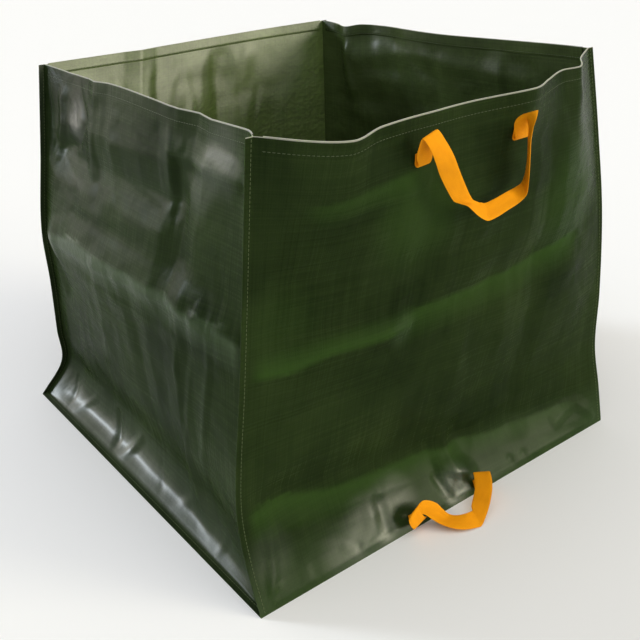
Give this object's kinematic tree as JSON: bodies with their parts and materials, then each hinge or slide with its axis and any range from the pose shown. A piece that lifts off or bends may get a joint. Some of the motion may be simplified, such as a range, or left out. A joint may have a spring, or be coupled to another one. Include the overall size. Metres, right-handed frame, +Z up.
{
  "type": "garden waste bag",
  "caption": "Open-topped square garden waste bag of coated woven sheet, standing on its base, with webbing carry handles and a tipping handle.",
  "frame": {"origin": "middle of the base, on the floor that the bag stands on", "axes": "+Z up, +X to the right along the front wall, which faces -Y and carries the tipping handle"},
  "size_m": [0.738, 0.8613, 0.5936],
  "materials": {
    "sheet": "dark green woven sheet with a shiny coating",
    "webbing": "orange flat woven webbing, matt"
  },
  "bodies": {
    "root": {"body_sheet": "sheet", "left_side_panel": "sheet", "right_side_panel": "sheet", "front_carry_handle": "webbing", "rear_carry_handle": "webbing", "tipping_handle": "webbing"}
  },
  "joints": []
}
